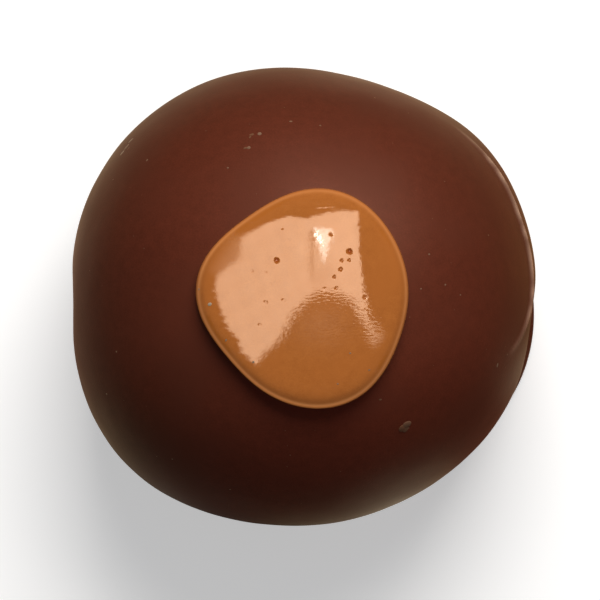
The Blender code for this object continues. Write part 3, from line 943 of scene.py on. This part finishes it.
floor_mesh = bpy.data.meshes.new("floor")
half = FLOOR_SIZE / 2
floor_corners = [(-half, -half, 0), (half, -half, 0), (half, half, 0), (-half, half, 0)]
floor_mesh.from_pydata(floor_corners, [], [(0, 1, 2, 3)])
floor = bpy.data.objects.new("floor", floor_mesh)
bpy.context.collection.objects.link(floor)
pale = bpy.data.materials.new("pale_table")
pale.use_nodes = True
tree = pale.node_tree
surface = tree.nodes["Principled BSDF"]
surface.inputs["Roughness"].default_value = FLOOR_ROUGHNESS
surface.inputs["Emission Color"].default_value = (*FLOOR_LIFT_COLOUR, 1)
paths = tree.nodes.new("ShaderNodeLightPath")
seen = paths.outputs["Is Camera Ray"]
thrown = blend_colours(tree, paths.outputs["Is Glossy Ray"], FLOOR_BOUNCE, FLOOR_MIRRORED)
tree.links.new(blend_colours(tree, seen, thrown, FLOOR_COLOUR), surface.inputs["Base Color"])
tree.links.new(calculate(tree, "MULTIPLY", seen, FLOOR_LIFT), surface.inputs["Emission Strength"])
floor_mesh.materials.append(pale)

card_degrees = np.arange(0, 360, 2)
card_azimuths = np.radians(card_degrees)
row_degrees = [at for at, _, _ in CARD_ROWS]
card_reach = np.interp(card_degrees, row_degrees, [reach for _, reach, _ in CARD_ROWS], period=360) * MM
card_tones = np.column_stack([
    np.interp(card_degrees, row_degrees, [tone[band] for _, _, tone in CARD_ROWS], period=360)
    for band in range(3)
])
ring = np.column_stack([np.cos(card_azimuths), np.sin(card_azimuths), np.zeros(len(card_azimuths))])
card_points = np.vstack([ring * CARD_INNER, ring * card_reach[:, None]]) + AXIS + (0, 0, CARD_HEIGHT)
count = len(card_azimuths)
card_faces = [(at, count + at, count + (at + 1) % count, (at + 1) % count) for at in range(count)]
only_ball = alone("seen by the sheen", ball)
card = glowing_card("table_card", card_points, card_faces, np.vstack([card_tones, card_tones]), only_ball)


def soft_light(name, azimuth, zenith, size, power, colour, receivers=None):
    """A square light that faces the truffle, and may reach its receivers alone."""
    light = bpy.data.objects.new(name, bpy.data.lights.new(name, "AREA"))
    light.data.size = size
    light.data.energy = power
    light.data.color = colour
    towards = Vector((
        math.sin(zenith) * math.cos(azimuth), math.sin(zenith) * math.sin(azimuth), math.cos(zenith),
    ))
    light.location = towards * LIGHT_DISTANCE
    light.rotation_euler = towards.to_track_quat("Z", "Y").to_euler()
    bpy.context.collection.objects.link(light)
    if receivers:
        light.light_linking.receiver_collection = receivers
    return light


key = soft_light("key", KEY_AZIMUTH, KEY_ZENITH, KEY_SIZE, KEY_POWER, KEY_COLOUR)
key.visible_glossy = False
sheen = soft_light("sheen", SHEEN_AZIMUTH, SHEEN_ZENITH, KEY_SIZE, SHEEN_POWER, SHEEN_COLOUR, only_ball)
sheen.visible_diffuse = False
red_glow = soft_light("red_glow", GLOW_AZIMUTH, GLOW_ZENITH, GLOW_SIZE, GLOW_POWER, GLOW_COLOUR, only_ball)
red_glow.visible_glossy = False
fill = soft_light("fill", FILL_AZIMUTH, FILL_ZENITH, KEY_SIZE, FILL_POWER, KEY_COLOUR, only_drop)
fill.visible_glossy = False

world = bpy.data.worlds.new("studio")
world.use_nodes = True
sky = world.node_tree.nodes["Background"]
sky.inputs["Color"].default_value = (*SKY_COLOUR, 1)
sky.inputs["Strength"].default_value = SKY
bpy.context.scene.world = world
bpy.context.scene.view_settings.view_transform = "Standard"
